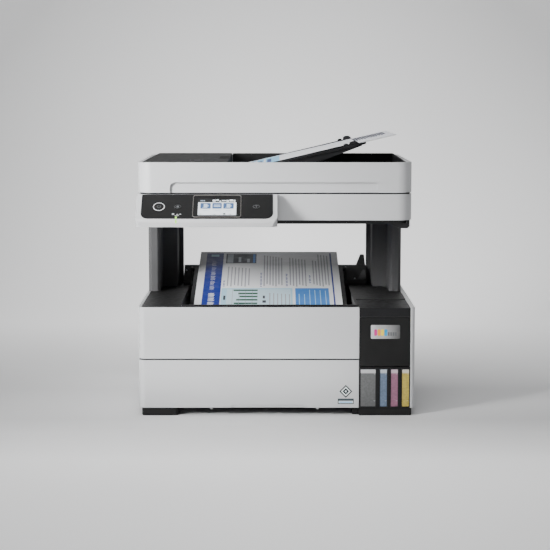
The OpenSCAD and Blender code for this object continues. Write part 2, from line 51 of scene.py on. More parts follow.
# degrees: control panel, paper in the output tray, feeder's tray and feeder's cover
PANEL_SLOPE, SHEET_SLOPE, ADF_SLOPE, COVER_SLOPE = 39.3, 12.35, 12.9, 0.553
# heights of the scanner's glass and of the feeder's output floor
GLASS_Z, ADF_FLOOR_Z = 301.3, 307.5
# left and right edge of each tank's window, and its rim's lower and upper edge
WINDOWS = {"black": (115.2, 136.4), "cyan": (141.7, 151.8), "magenta": (156.5, 166.6),
           "yellow": (171.6, 181.9)}
WINDOW_LOW, WINDOW_HIGH = 11.7, 64.2


# ---------------------------------------------------------------- camera
cam_data = bpy.data.cameras.new("photo_camera")
cam_data.lens = 108.92
cam_data.sensor_width = 36.0
cam_data.clip_start = 0.05
cam_data.clip_end = 50.0
camera = bpy.data.objects.new("photo_camera", cam_data)
bpy.context.scene.collection.objects.link(camera)
camera.location = (-0.0021, -2.3746, 0.439)
camera.rotation_euler = (math.radians(90 - 6.31), 0, 0)
bpy.context.scene.camera = camera


# ---------------------------------------------------------------- materials
def new_material(name):
    m = bpy.data.materials.new(name)
    m.use_nodes = True
    nt = m.node_tree
    bsdf = nt.nodes["Principled BSDF"]
    return m, nt, bsdf


def noise(nt, scale, detail=3.0, rough=0.55, stretch=None):
    coord = nt.nodes.new("ShaderNodeTexCoord")
    tex = nt.nodes.new("ShaderNodeTexNoise")
    tex.inputs["Scale"].default_value = scale
    tex.inputs["Detail"].default_value = detail
    tex.inputs["Roughness"].default_value = rough
    if stretch:
        mapping = nt.nodes.new("ShaderNodeMapping")
        mapping.inputs["Scale"].default_value = stretch
        nt.links.new(coord.outputs["Object"], mapping.inputs["Vector"])
        nt.links.new(mapping.outputs["Vector"], tex.inputs["Vector"])
    else:
        nt.links.new(coord.outputs["Object"], tex.inputs["Vector"])
    return tex.outputs["Fac"]


def along(nt, axis, space="Object"):
    """The shaded point's place along one axis."""
    coord = nt.nodes.new("ShaderNodeTexCoord")
    split = nt.nodes.new("ShaderNodeSeparateXYZ")
    nt.links.new(coord.outputs[space], split.inputs["Vector"])
    return split.outputs[axis]


def remap(nt, value, low, high, start=0.3, end=0.7):
    """Value, taken from start..end to low..high and held at the ends."""
    node = nt.nodes.new("ShaderNodeMapRange")
    node.inputs["From Min"].default_value = start
    node.inputs["From Max"].default_value = end
    node.inputs["To Min"].default_value = low
    node.inputs["To Max"].default_value = high
    nt.links.new(value, node.inputs["Value"])
    return node.outputs["Result"]


def two_tone(nt, value, a, b, start=0.3, end=0.7):
    ramp = nt.nodes.new("ShaderNodeValToRGB")
    ramp.color_ramp.elements[0].position = start
    ramp.color_ramp.elements[1].position = end
    ramp.color_ramp.elements[0].color = (*a, 1)
    ramp.color_ramp.elements[1].color = (*b, 1)
    nt.links.new(value, ramp.inputs["Fac"])
    return ramp.outputs["Color"]


def math_node(nt, op, a, b=None):
    node = nt.nodes.new("ShaderNodeMath")
    node.operation = op
    for socket, value in zip(node.inputs, (a, b)):
        if value is None:
            continue
        if isinstance(value, (int, float)):
            socket.default_value = value
        else:
            nt.links.new(value, socket)
    return node.outputs["Value"]


def bump(nt, bsdf, value, strength, distance):
    node = nt.nodes.new("ShaderNodeBump")
    node.inputs["Strength"].default_value = strength
    node.inputs["Distance"].default_value = distance
    nt.links.new(value, node.inputs["Height"])
    nt.links.new(node.outputs["Normal"], bsdf.inputs["Normal"])


def shade(color, k):
    return tuple(min(1.0, v * k) for v in color)


def plastic(name, color, rough=0.45, vary=0.05, grain=0.25, grain_scale=2200.0, depth=0.00006,
            tone=0.04, coat=0.0, specular=0.5):
    """Moulded plastic: fine spark-eroded grain, slow colour drift and uneven gloss."""
    m, nt, b = new_material(name)
    slow = noise(nt, 22.0, 4.0)
    nt.links.new(two_tone(nt, slow, shade(color, 1 - tone), shade(color, 1 + tone)),
                 b.inputs["Base Color"])
    nt.links.new(remap(nt, noise(nt, 140.0, 5.0), rough - vary, rough + vary),
                 b.inputs["Roughness"])
    bump(nt, b, noise(nt, grain_scale, 2.0), grain, depth)
    b.inputs["Specular IOR Level"].default_value = specular
    if coat:
        b.inputs["Coat Weight"].default_value = coat
        b.inputs["Coat Roughness"].default_value = 0.08
    return m


def metal(name, color, rough=0.35, stretch=(4.0, 300.0, 300.0)):
    """Brushed metal, its lines running where stretch is smallest."""
    m, nt, b = new_material(name)
    lines = noise(nt, 6.0, 4.0, 0.6, stretch)
    nt.links.new(two_tone(nt, lines, shade(color, 0.85), shade(color, 1.1)),
                 b.inputs["Base Color"])
    nt.links.new(remap(nt, lines, rough - 0.08, rough + 0.12), b.inputs["Roughness"])
    bump(nt, b, lines, 0.15, 0.00003)
    b.inputs["Metallic"].default_value = 1.0
    return m


def ink_window(name, color, empty):
    """Translucent tank wall: ink below a fill line, clear frosted wall above it."""
    m, nt, b = new_material(name)
    level = remap(nt, along(nt, "Z"), 0.0, 1.0, 0.0575, 0.0592)
    cloud = two_tone(nt, noise(nt, 420.0, 4.0), shade(color, 0.82), shade(color, 1.2))
    mix = nt.nodes.new("ShaderNodeMix")
    mix.data_type = "RGBA"
    mix.inputs["B"].default_value = (*empty, 1)
    nt.links.new(level, mix.inputs["Factor"])
    nt.links.new(cloud, mix.inputs["A"])
    nt.links.new(mix.outputs["Result"], b.inputs["Base Color"])
    nt.links.new(remap(nt, noise(nt, 300.0), 0.28, 0.4), b.inputs["Roughness"])
    bump(nt, b, noise(nt, 900.0), 0.12, 0.00004)
    b.inputs["Coat Weight"].default_value = 0.12
    b.inputs["Coat Roughness"].default_value = 0.15
    return m


def glow(name, color, strength, base=(0.02, 0.02, 0.02)):
    """Lit pixels: a fine grid of cells over an even glow."""
    m, nt, b = new_material(name)
    cells = noise(nt, 1800.0, 1.0)
    nt.links.new(two_tone(nt, cells, shade(color, 0.9), shade(color, 1.06)),
                 b.inputs["Emission Color"])
    nt.links.new(two_tone(nt, cells, shade(base, 0.9), shade(base, 1.1)), b.inputs["Base Color"])
    b.inputs["Emission Strength"].default_value = strength
    b.inputs["Roughness"].default_value = 0.25
    return m


def paper(name, color, tone=0.03, painted_shade=None):
    """Paper or print; fade = (near Y, far Y, far tone) paints shade on it, darker towards its far
    end.
    """
    m, nt, b = new_material(name)
    fibres = noise(nt, 900.0, 6.0, 0.7)
    tint = two_tone(nt, fibres, shade(color, 1 - tone), shade(color, 1 + tone))
    if painted_shade:
        near, far, far_tone = painted_shade
        # painted shade: the colour is scaled down along Y, from full at the near end to the far
        # tone
        level = remap(nt, along(nt, "Y"), 1.0, far_tone, near, far)
        scale = nt.nodes.new("ShaderNodeVectorMath")
        scale.operation = "SCALE"
        nt.links.new(tint, scale.inputs[0])
        nt.links.new(level, scale.inputs["Scale"])
        tint = scale.outputs["Vector"]
    nt.links.new(tint, b.inputs["Base Color"])
    nt.links.new(remap(nt, noise(nt, 90.0), 0.55, 0.75), b.inputs["Roughness"])
    bump(nt, b, fibres, 0.2, 0.00003)
    return m


WHITE = plastic("white_plastic", (0.53, 0.535, 0.543), rough=0.42, tone=0.012, grain=0.2)
BLACK = plastic("black_plastic", (0.009, 0.009, 0.01), rough=0.5, vary=0.07, tone=0.2, grain=0.35,
                specular=0.22)
DECK = plastic("deck_plastic", (0.011, 0.011, 0.0115), rough=0.5, vary=0.06, tone=0.18, grain=0.4,
               specular=0.4)
# output tray's plastic: a lighter copy of the black plastic, painted light for the dim output well
WELL_PAINTED_LIGHT = plastic("well_plastic_painted_light", (0.03, 0.03, 0.031), rough=0.65, vary=0.05, tone=0.12, grain=0.4,
               specular=0.1)


def deck_with_painted_light():
    """Deck plastic with painted light: lighter below the deck, in the output well, and above it,
    on the hump.
    """
    m, nt, b = new_material("deck_with_painted_light")
    # painted light: the well below the deck top and the hump above it get a lighter colour than
    # the deck top
    painted_well_light = remap(nt, along(nt, "Z"), 0.10, 0.0, 0.1462, 0.1476)
    painted_hump_light = remap(nt, along(nt, "Z"), 0.011, 0.035, 0.150, 0.153)
    drift = remap(nt, noise(nt, 22.0, 4.0), 0.82, 1.18)
    total = math_node(nt, "MULTIPLY", math_node(nt, "ADD", painted_well_light, painted_hump_light), drift)
    nt.links.new(total, b.inputs["Base Color"])
    nt.links.new(remap(nt, noise(nt, 140.0, 5.0), 0.44, 0.58), b.inputs["Roughness"])
    bump(nt, b, noise(nt, 2200.0, 2.0), 0.4, 0.00006)
    b.inputs["Specular IOR Level"].default_value = 0.35
    return m


PAINTED_LIGHT_DECK = deck_with_painted_light()
COLUMN = plastic("column_plastic", (0.085, 0.085, 0.087), rough=0.7, vary=0.05, tone=0.08,
                 grain=0.4, specular=0.08)
DARK = plastic("dark_plastic", (0.035, 0.035, 0.038), rough=0.5, tone=0.15, grain=0.4)
GLOSS = plastic("gloss_black", (0.010, 0.010, 0.010), rough=0.42, vary=0.05, tone=0.2, grain=0.06,
                specular=0.2)
PANEL_BLACK = plastic("panel_black", (0.0085, 0.0085, 0.0085), rough=0.5, vary=0.04, tone=0.12,
                      grain=0.12, specular=0.25)
LID_BLACK = plastic("lid_black", (0.013, 0.013, 0.013), rough=0.62, vary=0.05, tone=0.12,
                    grain=0.3, specular=0.12)
# darker copy of the lid plastic: painted shade for the floor of the feeder cover's finger pull
LID_PAINTED_SHADE = plastic("lid_painted_shade", (0.004, 0.004, 0.004), rough=0.7, tone=0.12, grain=0.3,
                   specular=0.08)
STEEL = metal("sheet_steel", (0.55, 0.56, 0.58))
RUBBER = plastic("rubber", (0.012, 0.012, 0.012), rough=0.75, tone=0.25, grain=0.6, specular=0.2)
MATTE_WHITE = plastic("mat_white", (0.8, 0.8, 0.8), rough=0.7, tone=0.02, grain=0.5)
PAPER = paper("paper_white", (0.82, 0.83, 0.86))
# painted shade on the printed sheet and its print: darker towards the far end, under the scanner
SHEET_PAINTED_SHADE = (0.03, 0.13, 0.24)
SHEET_PAPER = paper("sheet_white", (0.93, 0.94, 0.96), painted_shade=SHEET_PAINTED_SHADE)

SLOT_LOOKS = {
    "white_plastic": WHITE,
    "black_plastic": BLACK,
    "dark_plastic": DARK,
    "gloss_black": GLOSS,
    "steel": STEEL,
    "rubber": RUBBER,
    "belt_rubber": RUBBER,
    "ink_black": ink_window("ink_black", (0.095, 0.097, 0.098), (0.48, 0.48, 0.49)),
    "ink_cyan": ink_window("ink_cyan", (0.105, 0.15, 0.225), (0.46, 0.50, 0.55)),
    "ink_magenta": ink_window("ink_magenta", (0.25, 0.105, 0.165), (0.55, 0.44, 0.49)),
    "ink_yellow": ink_window("ink_yellow", (0.44, 0.34, 0.06), (0.58, 0.54, 0.46)),
    "cap_cyan": plastic("cap_cyan", (0.0, 0.25, 0.45), rough=0.4),
    "cap_magenta": plastic("cap_magenta", (0.45, 0.03, 0.2), rough=0.4),
    "cap_yellow": plastic("cap_yellow", (0.7, 0.5, 0.03), rough=0.4),
    "paper": PAPER,
    "mat_white": MATTE_WHITE,
}
glass_m, glass_nt, glass_b = new_material("clear_glass")
glass_b.inputs["Base Color"].default_value = (0.85, 0.93, 0.92, 1)
glass_b.inputs["Alpha"].default_value = 0.35
glass_nt.links.new(remap(glass_nt, noise(glass_nt, 40.0), 0.03, 0.09), glass_b.inputs["Roughness"])
SLOT_LOOKS["glass"] = glass_m
lcd_m, lcd_nt, lcd_b = new_material("lcd_glass")
lcd_nt.links.new(two_tone(lcd_nt, noise(lcd_nt, 50.0), (0.25, 0.26, 0.27), (0.32, 0.33, 0.34)),
                 lcd_b.inputs["Base Color"])
lcd_b.inputs["Roughness"].default_value = 0.28
lcd_b.inputs["Metallic"].default_value = 0.8
SLOT_LOOKS["lcd"] = lcd_m

NODE_LOOKS = {"top_frame": PAINTED_LIGHT_DECK, "columns": COLUMN, "scanner_pan": DECK,
              "output_tray": WELL_PAINTED_LIGHT, "printed_sheet": SHEET_PAPER, "adf_cover": LID_BLACK,
              "adf_well": LID_BLACK}
for node_name in ("panel_face", "power_button", "home_button", "help_button", "screen"):
    NODE_LOOKS[node_name] = PANEL_BLACK


# ---------------------------------------------------------------- edges of the CAD nodes
def soften(obj, width, segments=3, angle=32.0):
    """Rounds the moulded edges with modifiers, and leaves the CAD mesh as it is."""
    for poly in obj.data.polygons:
        poly.use_smooth = True
    weld = obj.modifiers.new("weld", "WELD")
    weld.merge_threshold = 0.000005
    flat = obj.modifiers.new("merge_flats", "DECIMATE")
    flat.decimate_type = "DISSOLVE"
    flat.angle_limit = math.radians(1.0)
    if width:
        edges = obj.modifiers.new("edges", "BEVEL")
        edges.width = width * UNIT
        edges.segments = segments
        edges.limit_method = "ANGLE"
        edges.angle_limit = math.radians(angle)
        edges.use_clamp_overlap = True
        edges.harden_normals = False
    normals = obj.modifiers.new("normals", "WEIGHTED_NORMAL")
    normals.keep_sharp = False
    normals.weight = 80


EDGE_WIDTHS = {"lid_shell": 1.4, "front_cover": 1.2, "cassette_front": 1.2, "scanner_base": 0.6,
               "left_side_cover": 0.7, "right_side_cover": 0.8, "panel_shell": 1.5,
               "columns": 0.8, "tank_frame": 0.5, "ink_cover": 0.5, "adf_cover": 0.6,
               "adf_tray": 0.5, "scanner_pan": 1.0, "top_frame": 0.6, "rubber_feet": 0.6,
               "scanner_glass": 0.15, "document_mat": 0.3, "screen": 0.3, "panel_face": 0.25,
               "printed_sheet": 0.0, "document_sheets": 0.0}

record_slots = {s["node"]: s["material_slot"] for s in frame["record"]["subparts"]}
for node_name, node_obj in nodes.items():
    look = NODE_LOOKS.get(node_name) or SLOT_LOOKS[record_slots[node_name]]
    node_obj.data.materials.clear()
    node_obj.data.materials.append(look)
    soften(node_obj, EDGE_WIDTHS.get(node_name, 0.3))


# ---------------------------------------------------------------- building pieces
def mm(x, depth, z):
    """Millimetres, with depth counted from the front face, to the frame's metres."""
    return Vector(((x + CENTRE_X) * UNIT, (depth + FRONT_Y) * UNIT, z * UNIT))


def basis(origin, across, up, out):
    """A working plane: across and up lie in it, out points away from the object."""
    m = Matrix.Identity(4)
    for i, axis in enumerate((across, up, out)):
        m[0][i], m[1][i], m[2][i] = (v * UNIT for v in axis)
    m.translation = mm(*origin)
    return m


def tilted(deg):
    """Cosine and sine of a slope in degrees."""
    return math.cos(math.radians(deg)), math.sin(math.radians(deg))


PANEL_C, PANEL_S = tilted(PANEL_SLOPE)
SHEET_C, SHEET_S = tilted(SHEET_SLOPE)
ADF_C, ADF_S = tilted(ADF_SLOPE)
COVER_C, COVER_S = tilted(COVER_SLOPE)
ON_FRONT = basis((0, 0, 0), (1, 0, 0), (0, 0, 1), (0, -1, 0))
ON_BACK = basis((0, BODY_DEPTH, 0), (-1, 0, 0), (0, 0, 1), (0, 1, 0))
ON_LEFT = basis((BODY_LEFT, 0, 0), (0, -1, 0), (0, 0, 1), (-1, 0, 0))
ON_RIGHT = basis((BODY_RIGHT, 0, 0), (0, 1, 0), (0, 0, 1), (1, 0, 0))
ON_TOP = basis((0, 0, 0), (1, 0, 0), (0, 1, 0), (0, 0, 1))
ON_PANEL = basis((0, -45.3, 271.3), (1, 0, 0), (0, PANEL_C, PANEL_S), (0, -PANEL_S, PANEL_C))
ON_SHEET = basis((-10, 44.5, 128), (1, 0, 0), (0, SHEET_C, SHEET_S), (0, -SHEET_S, SHEET_C))
ON_COVER = basis((0, 0, 343.5), (1, 0, 0), (0, COVER_C, COVER_S), (0, -COVER_S, COVER_C))
ON_ADF = basis((-95, 0, 318), (ADF_C, 0, ADF_S), (0, 1, 0), (-ADF_S, 0, ADF_C))


def ring_points(cx, cy, r, n=40, r2=None):
    return [(cx + r * math.cos(2 * math.pi * i / n),
             cy + (r2 or r) * math.sin(2 * math.pi * i / n)) for i in range(n)]


def round_rect(x0, y0, x1, y1, r, n=6):
    """Outline of a rectangle with rounded corners; r may be one radius or four."""
    radii = r if isinstance(r, (tuple, list)) else (r,) * 4
    corners = ((x0, y0, 1, 1, 180), (x1, y0, -1, 1, 270),
               (x1, y1, -1, -1, 0), (x0, y1, 1, -1, 90))
    pts = []
    for (cx, cy, sx, sy, start), rad in zip(corners, radii):
        if rad <= 0:
            pts.append((cx, cy))
            continue
        for i in range(n + 1):
            a = math.radians(start + 90 * i / n)
            pts.append((cx + sx * rad + rad * math.cos(a), cy + sy * rad + rad * math.sin(a)))
    return pts


def add_prism(bm, outline, w0, w1, plane):
    """Closed prism over an outline, from w0 to w1 above the plane."""
    low = [bm.verts.new(plane @ Vector((u, v, w0))) for u, v in outline]
    high = [bm.verts.new(plane @ Vector((u, v, w1))) for u, v in outline]
    n = len(outline)
    bm.faces.new(high)
    bm.faces.new(list(reversed(low)))
    for i in range(n):
        j = (i + 1) % n
        bm.faces.new((low[i], low[j], high[j], high[i]))


def add_tube(bm, outer, inner, w0, w1, plane):
    """Closed ring between two outlines with the same number of points."""
    n = len(outer)
    rings = [[bm.verts.new(plane @ Vector((u, v, w))) for u, v in line]
             for line, w in ((outer, w0), (outer, w1), (inner, w1), (inner, w0))]
    for k in range(4):
        a, b = rings[k], rings[(k + 1) % 4]
        for i in range(n):
            j = (i + 1) % n
            bm.faces.new((a[i], a[j], b[j], b[i]))


def make(name, body, look, build, bevel=0.0, segments=2, smooth=True):
    """One new piece from a bmesh builder, its edges rounded by a modifier, riding on a body."""
    bm = bmesh.new()
    build(bm)
    bmesh.ops.recalc_face_normals(bm, faces=bm.faces)
    mesh = bpy.data.meshes.new(name)
    bm.to_mesh(mesh)
    bm.free()
    mesh.materials.append(look)
    obj = bpy.data.objects.new(name, mesh)
    bpy.context.scene.collection.objects.link(obj)
    if smooth:
        for poly in mesh.polygons:
            poly.use_smooth = True
    if bevel:
        edges = obj.modifiers.new("edges", "BEVEL")
        edges.width = bevel * UNIT
        edges.segments = segments
        edges.limit_method = "ANGLE"
        edges.angle_limit = math.radians(35)
    if smooth:
        normals = obj.modifiers.new("normals", "WEIGHTED_NORMAL")
        normals.weight = 80
    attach(obj, body)
    return obj


def prisms(name, body, slot, look, plane, items, bevel=0.15, segments=2, smooth=True):
    """items: (outline, low, high) in one plane, joined into one piece."""
    def build(bm):
        for outline, w0, w1 in items:
            add_prism(bm, outline, w0, w1, plane)
    return make(name, body, look, build, bevel, segments, smooth)


def ring(name, body, look, plane, outer, inner, low, high, bevel=0.0, segments=2):
    """One ring or frame between two outlines."""
    def build(bm):
        add_tube(bm, outer, inner, low, high, plane)
    return make(name, body, look, build, bevel, segments)


def print_on(name, body, slot, look, plane, rects, height, thick=0.03):
    """Ink: very thin rectangles on a surface."""
    items = [(round_rect(*r, 0), height, height + thick) for r in rects]
    return prisms(name, body, slot, look, plane, items, 0, smooth=False)


# ---------------------------------------------------------------- control panel
RING = plastic("ring_grey", (0.62, 0.63, 0.65), rough=0.3, tone=0.03, grain=0.1)
MARK = plastic("mark_grey", (0.10, 0.105, 0.11), rough=0.4, tone=0.05, grain=0.1)
MARK_LIGHT = plastic("mark_light", (0.5, 0.51, 0.53), rough=0.4, tone=0.05, grain=0.1)
KEY_V = 24.0
POWER_U, HOME_U, HELP_U = -154.6, -129.6, -25.3

ring("power_ring", "panel", RING, ON_PANEL,
     ring_points(POWER_U, KEY_V, 7.8, 56), ring_points(POWER_U, KEY_V, 6.8, 56),
     -0.4, 0.12, 0.12, 3)


def power_symbol(bm):
    n = 22
    outer, inner = [], []
    for i in range(n + 1):
        a = math.radians(125 + 290 * i / n)
        outer.append((POWER_U + 2.5 * math.cos(a), KEY_V + 2.5 * math.sin(a)))
        inner.append((POWER_U + 2.0 * math.cos(a), KEY_V + 2.0 * math.sin(a)))
    add_prism(bm, outer + inner[::-1], 0.3, 0.36, ON_PANEL)
    bar = round_rect(POWER_U - 0.25, KEY_V + 0.6, POWER_U + 0.25, KEY_V + 2.9, 0.2)
    add_prism(bm, bar, 0.3, 0.36, ON_PANEL)


make("power_symbol", "power_button", MARK, power_symbol)

for key, u in (("home", HOME_U), ("help", HELP_U)):
    ring(key + "_outline", key + "_button", MARK, ON_PANEL,
         ring_points(u, KEY_V, 4.2, 32, 3.4), ring_points(u, KEY_V, 3.8, 32, 3.0), 0.3, 0.36)
prisms("home_symbol", "home_button", "gloss_black", MARK, ON_PANEL,
       [([(HOME_U - 2.2, 24), (HOME_U, 26.2), (HOME_U + 2.2, 24), (HOME_U + 1.5, 24),
          (HOME_U + 1.5, 22.2), (HOME_U - 1.5, 22.2), (HOME_U - 1.5, 24)], 0.3, 0.36)], 0)
prisms("help_symbol", "help_button", "gloss_black", MARK, ON_PANEL,
       [(round_rect(HELP_U - 0.4, 22.0, HELP_U + 0.4, 22.8, 0.3), 0.3, 0.36),
        (round_rect(HELP_U - 0.4, 23.4, HELP_U + 0.4, 24.8, 0.3), 0.3, 0.36),
        (round_rect(HELP_U - 1.5, 25.4, HELP_U + 1.5, 26.2, 0.3), 0.3, 0.36)], 0)

# display: thin metallic outline on black, then a lit picture of generic tiles
BEZEL = metal("display_frame", (0.62, 0.59, 0.56), 0.3)
ring("display_frame", "panel", BEZEL, ON_PANEL,
     round_rect(-109.7, 3.7, -45.5, 46.3, 3.2, 8), round_rect(-109.0, 4.5, -46.2, 45.5, 2.7, 8),
     0.05, 0.36, 0.1)
LIT_WHITE = glow("lit_white", (0.86, 0.92, 1.0), 2.1)
LIT_BLUE = glow("lit_blue", (0.07, 0.15, 0.34), 1.5)
LIT_DARK = glow("lit_dark", (0.02, 0.025, 0.03), 0.6)
LIT_ICON = glow("lit_icon", (0.62, 0.76, 0.95), 1.7)
LIT_PALE = glow("lit_pale", (0.45, 0.55, 0.68), 1.5)
LCD = ("panel", "lcd")
LIT_X0, LIT_X1, LIT_V0, LIT_V1 = -102.6, -52.0, 7.8, 38.4
TILE_V0, TILE_V1 = 20.0, 30.9
prisms("display_ground", *LCD, LIT_WHITE, ON_PANEL,
       [(round_rect(LIT_X0, LIT_V0, LIT_X1, 32.2, 0.3), 0.1, 0.16)], 0)
print_on("display_bar", *LCD, LIT_DARK, ON_PANEL, [(LIT_X0, 32.4, LIT_X1, LIT_V1)], 0.12)
print_on("display_bar_marks", *LCD, LIT_WHITE, ON_PANEL,
         [(-83.5, 34.0, -79.5, 37.2), (-78.5, 35.0, -75.5, 38.0), (-74.5, 33.2, -72.3, 35.4),
          (-71.2, 34.6, -66.2, 36.4), (-65.2, 33.4, -62.0, 36.6), (-61.0, 34.2, -56.4, 37.6),
          (-55.6, 33.6, -53.4, 37.0)], 0.16)
print_on("display_bar_name", *LCD, LIT_PALE, ON_PANEL,
         [(-99.6 + 2.2 * i, 34.4, -98.2 + 2.2 * i, 36.4) for i in range(3)], 0.16)
tiles = [(-99.7, -85.8), (-83.8, -71.1), (-69.3, -55.3)]
prisms("display_tiles", *LCD, LIT_BLUE, ON_PANEL,
       [(round_rect(t0, TILE_V0, t1, TILE_V1, 1.0), 0.16, 0.2) for t0, t1 in tiles], 0)
icons = []
for k, (t0, t1) in enumerate(tiles):
    cu, cv = (t0 + t1) / 2, (TILE_V0 + TILE_V1) / 2
    if k == 1:
        icons += [(cu - 4.4, cv - 2.0, cu + 4.4, cv - 0.4),
                  (cu - 4.4, cv + 0.6, cu + 4.4, cv + 2.2)]
    else:
        icons += [(cu - 2.4, cv - 3.6, cu + 2.4, cv + 3.6),
                  (cu + 2.8, cv - 1.4, cu + 3.8, cv + 1.4),
                  (cu - 3.8, cv - 3.8, cu - 2.8, cv - 2.4)]
print_on("display_icons", *LCD, LIT_ICON, ON_PANEL, icons, 0.2)
labels = []
for t0, t1 in tiles:
    labels += [(t0 + 3.8 + 1.9 * i, 15.6, t0 + 5.0 + 1.9 * i, 16.8) for i in range(4)]
print_on("display_labels", *LCD, LIT_PALE, ON_PANEL, labels, 0.16)
print_on("display_foot", *LCD, LIT_DARK, ON_PANEL,
         [(-100.4, 8.8, -98.6, 10.4), (-82.4, 8.6, -78.8, 9.6), (-69.2, 8.6, -66.0, 11.4),
          (-61.0, 8.6, -58.2, 9.8)], 0.16)

# status marks and the power light, which runs over the panel's edge
prisms("status_marks", "panel", "gloss_black", MARK_LIGHT, ON_PANEL,
       [(round_rect(-136.6, 8.4, -133.8, 11.2, 0.2), 0.0, 0.06),
        (round_rect(-133.0, 6.2, -127.6, 7.4, 0.2), 0.0, 0.06),
        (round_rect(-130.8, 8.6, -128.2, 9.8, 0.2), 0.0, 0.06),
        (round_rect(-127.0, 8.8, -124.6, 10.2, 0.2), 0.0, 0.06)], 0)
GREEN = glow("led_green", (0.46, 0.80, 0.08), 1.4, (0.05, 0.3, 0.03))
prisms("power_light", "panel", "gloss_black", GREEN, ON_PANEL,
       [(round_rect(-132.4, 1.2, -130.0, 4.8, 0.6), -0.05, 0.2)], 0.1)
prisms("power_light_lip", "panel", "white_plastic", GREEN, ON_FRONT,
       [(round_rect(-132.2, 265.8, -130.2, 270.8, 0.6), 45.3, 45.75)], 0.15)
# plug over the pivot at the panel's left end
PANEL_END = -185
prisms("panel_end_plugs", "panel", "white_plastic", WHITE,
       basis((PANEL_END, 0, 0), (0, -1, 0), (0, 0, 1), (-1, 0, 0)),
       [(ring_points(30.0, 272.0, 2.6, 24), -0.3, 0.12)], 0.1)

# ---------------------------------------------------------------- lid and document feeder
lid = ("lid", "black_plastic")


# feeder cover: a finger pull at its free edge, ridges and a loading mark
# the pull's floor is darker than the cover: painted shade in the recess
prisms("cover_pull_floor", "adf_cover", "gloss_black", LID_PAINTED_SHADE, ON_COVER,
       [(round_rect(-79, 118, -65.3, 172, (9, 0.5, 0.5, 9)), -0.05, 0.12)], 0.05)

ring("cover_pull_rim", "adf_cover", LID_BLACK, ON_COVER,
     round_rect(-80.6, 116, -65.2, 174, (10, 0.6, 0.6, 10)),
     round_rect(-79.4, 117.6, -65.6, 172.4, (9, 0.3, 0.3, 9)), -0.1, 0.4, 0.25, 3)
prisms("cover_ridges", "adf_cover", "gloss_black", LID_BLACK, ON_COVER,
       [(round_rect(-158, y, -80, y + 1.2, 0.5), -0.1, 0.3) for y in (17, 21, 266, 270)], 0.15)
prisms("cover_marks", "adf_cover", "gloss_black", DARK, ON_COVER,
       [(round_rect(-118, 60, -100, 61, 0.3), -0.02, 0.06),
        (round_rect(-118, 80, -100, 81, 0.3), -0.02, 0.06),
        (round_rect(-118, 61, -117, 80, 0.3), -0.02, 0.06),
        (round_rect(-101, 61, -100, 80, 0.3), -0.02, 0.06),
        ([(-112, 67), (-106, 67), (-106, 64.5), (-101.9, 70.5), (-106, 76.5), (-106, 74),
          (-112, 74)], -0.02, 0.06)], 0)

# output floor of the feeder: ribs and a stopper
prisms("well_ribs", *lid, DECK, ON_TOP,
       [(round_rect(-60, 40 + 20 * i, 168, 41.2 + 20 * i, 0.5), ADF_FLOOR_Z, 308.2)
        for i in range(11)], 0.2)
prisms("well_stop", *lid, BLACK, ON_TOP,
       [(round_rect(146, 122, 170, 166, 4), ADF_FLOOR_Z, 308.9)], 0.5, 3)

# document tray: a bead along its outer edge, and finger marks
tray = ("adf_tray", "black_plastic")
prisms("tray_edge_bead", *tray, BLACK, ON_ADF,
       [(round_rect(219.5, 60, 223.6, 240, 1.8), 1.7, 2.0)], 0.12)
prisms("tray_finger_marks", *tray, MARK, ON_ADF,
       [(round_rect(206, 38.4, 216, 39.4, 0.3), 1.8, 1.88),
        (round_rect(206, 260.6, 216, 261.6, 0.3), 1.8, 1.88)], 0)

# between scanner and lid: marks beside the glass, the gasket, a dark strip and bumpers
GLASS_MARK_TOP = 301.36
GASKET_Z = (301.45, 303.5)
prisms("glass_marks", "base", "black_plastic", MARK, ON_TOP,
       [(outline, GLASS_Z, GLASS_MARK_TOP) for outline in
        [[(-158.8, 38), (-156, 38), (-157.4, 41)]]
        + [round_rect(x, 31.5, x + 0.6, 34.4, 0.1) for x in (-100, 0, 60)]], 0)
prisms("lid_seam_gasket", "lid", "black_plastic", RUBBER, ON_TOP,
       [(round_rect(*side, 0.6), *GASKET_Z) for side in
        ((-181.4, 3.6, 180.2, 5.0), (-181.6, 5.0, -180.2, 284.0),
         (178.9, 5.0, 180.3, 284.0), (-181.4, 283.2, 180.2, 284.6))], 0)
prisms("scanner_top_strip", "base", "black_plastic", PANEL_BLACK, ON_FRONT,
       [(round_rect(-176.5, 299.6, 2.4, 301.28, 0.4), 0.0, 0.12)], 0)
prisms("lid_bumpers", "lid", "rubber", RUBBER, ON_TOP,
       [(ring_points(x, y, 4.0, 24), 301.7, 303.4) for x in (-166, 164) for y in (16, 272)], 0.4)

# ---------------------------------------------------------------- ink tank unit
for ink, (x0, x1) in WINDOWS.items():
    lines = [(x1 - 3.0, 20.0, x1 - 0.8, 20.4), (x1 - 3.0, 57.0, x1 - 0.8, 57.4)]
    prisms("level_marks_" + ink, "base", "ink_" + ink, MARK_LIGHT, ON_FRONT,
           [(round_rect(*ln, 0.1), -0.42, -0.3) for ln in lines], 0)
    ring("window_rim_" + ink, "base", BLACK, ON_FRONT,
         round_rect(x0 - 0.2, WINDOW_LOW, x1 + 0.2, WINDOW_HIGH, 0.9),
         round_rect(x0 + 0.5, 12.5, x1 - 0.5, 63.4, 0.6), -0.5, -0.1, 0.1)


def silver_with_painted_reflection():
    """Silver with a painted reflection, running from light at the left to dark at the right."""
    m, nt, b = new_material("badge_silver")
    # painted reflection: the base colour falls from light to dark across the badge
    painted_reflection = remap(nt, along(nt, "X", "Generated"), 0.66, 0.09, 0.0, 1.0)
    drift = remap(nt, noise(nt, 90.0, 4.0), 0.85, 1.15)
    nt.links.new(math_node(nt, "MULTIPLY", painted_reflection, drift), b.inputs["Base Color"])
    nt.links.new(remap(nt, noise(nt, 300.0, 3.0), 0.28, 0.42), b.inputs["Roughness"])
    b.inputs["Metallic"].default_value = 0.35
    return m


